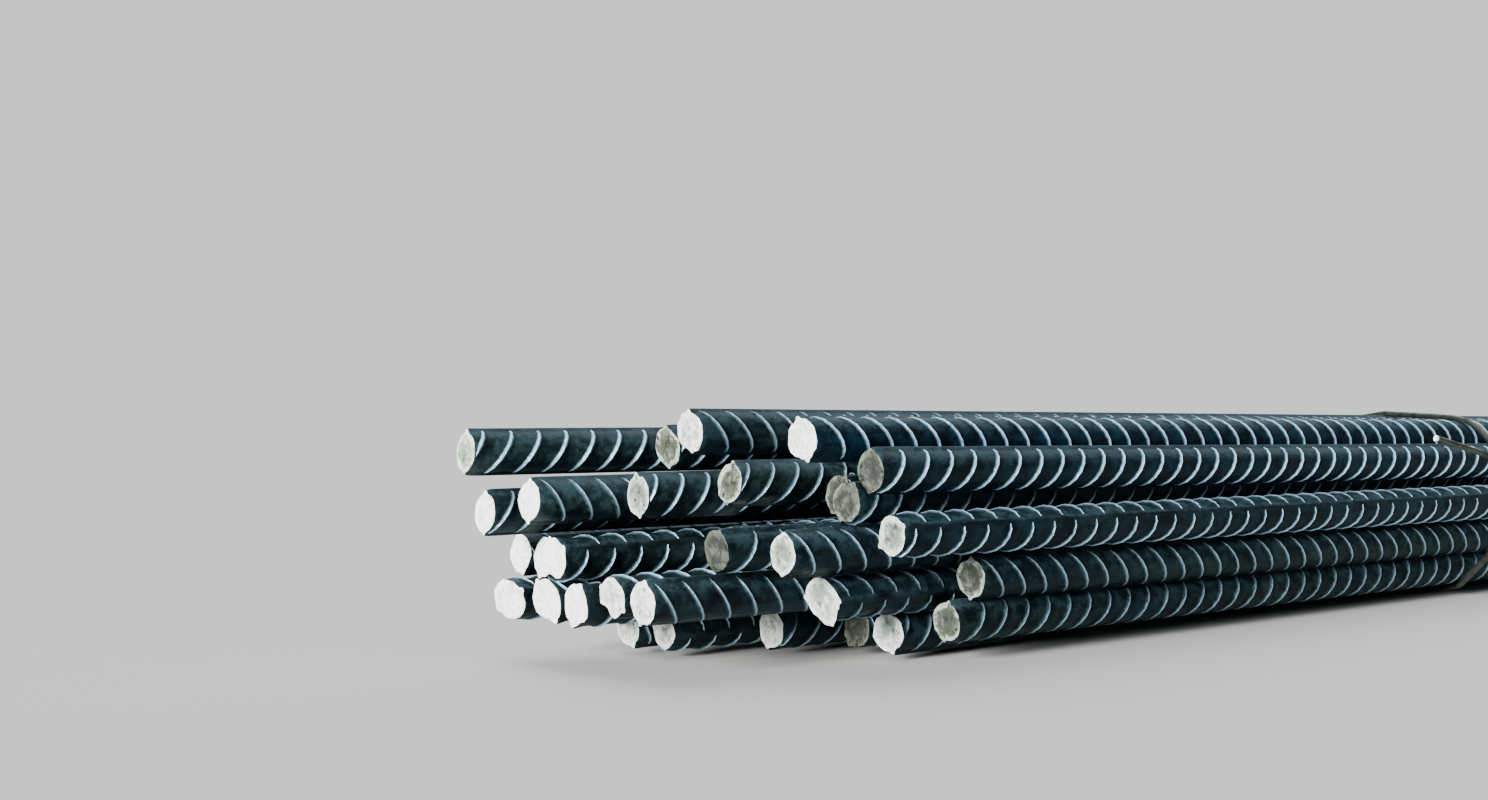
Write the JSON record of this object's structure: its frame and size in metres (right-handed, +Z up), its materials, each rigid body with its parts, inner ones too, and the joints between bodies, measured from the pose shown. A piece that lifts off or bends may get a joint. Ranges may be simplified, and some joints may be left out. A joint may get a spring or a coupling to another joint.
{
  "type": "rebar bundle",
  "caption": "Bundle of straight ribbed reinforcing bars held by loops of twisted tie wire, its near end sprung open and its cut ends staggered.",
  "frame": {"origin": "middle of the bundle's footprint on the floor", "axes": "+X along the bars, from the splayed near end toward the tight far end; +Z up"},
  "size_m": [6.2002, 0.2154, 0.1214],
  "materials": {
    "bar_steel": "hot rolled, blue-black mill scale",
    "tie_wire": "dull annealed wire"
  },
  "bodies": {
    "root": {"bars_layer_1": "bar_steel", "bars_layer_2": "bar_steel", "bars_layer_3": "bar_steel", "bars_layer_4": "bar_steel", "bars_layer_5": "bar_steel", "wire_ties": "tie_wire"}
  },
  "joints": []
}
